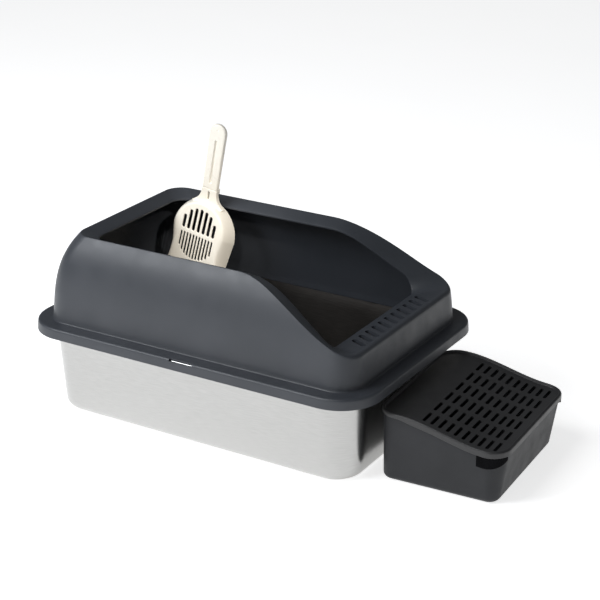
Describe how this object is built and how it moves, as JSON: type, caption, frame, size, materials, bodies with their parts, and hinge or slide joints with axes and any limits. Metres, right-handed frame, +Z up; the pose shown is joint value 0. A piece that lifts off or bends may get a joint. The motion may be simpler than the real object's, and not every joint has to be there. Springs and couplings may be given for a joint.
{
  "type": "cat litter box",
  "caption": "Deep steel cat litter pan with a high open-topped plastic hood, a litter-catching step box with a slotted lid, and a scoop hung on the hood.",
  "frame": {"origin": "centre of the pan's flat underside, on the floor", "axes": "+X along the pan towards the entry and the step box, +Y across it towards the scoop's side, +Z up"},
  "size_m": [0.7848, 0.4, 0.4167],
  "materials": {
    "steel": "satin stainless sheet",
    "hood_plastic": "satin slate grey moulding",
    "bin_plastic": "satin charcoal moulding",
    "lid_plastic": "satin charcoal moulding",
    "grip_rubber": "matt textured rubber",
    "scoop_plastic": "smooth cream moulding"
  },
  "bodies": {
    "pan": {"steel_pan": "steel"},
    "hood": {"hood": "hood_plastic"},
    "scoop": {"scoop_head": "scoop_plastic", "scoop_handle": "scoop_plastic"},
    "step_box": {"step_bin": "bin_plastic", "grip_near": "grip_rubber", "grip_far": "grip_rubber"},
    "step_lid": {"step_lid": "lid_plastic"}
  },
  "joints": [
    {"name": "hood_lift", "type": "slide", "parent": "pan", "child": "hood", "axis": [0, 0, 1], "range_m": [0, 0.18]},
    {"name": "scoop_lift", "type": "slide", "parent": "hood", "child": "scoop", "axis": [0.1822, 0, 0.9833], "range_m": [0, 0.25]},
    {"name": "step_box_pull", "type": "slide", "parent": "pan", "child": "step_box", "axis": [1, 0, 0], "range_m": [0, 0.25]},
    {"name": "step_lid_tip", "type": "hinge", "parent": "step_box", "child": "step_lid", "pos_m": [0.2811, -0.0022, 0.1155], "axis": [0.0523, -0.9986, 0], "range_deg": [0, 32]}
  ]
}
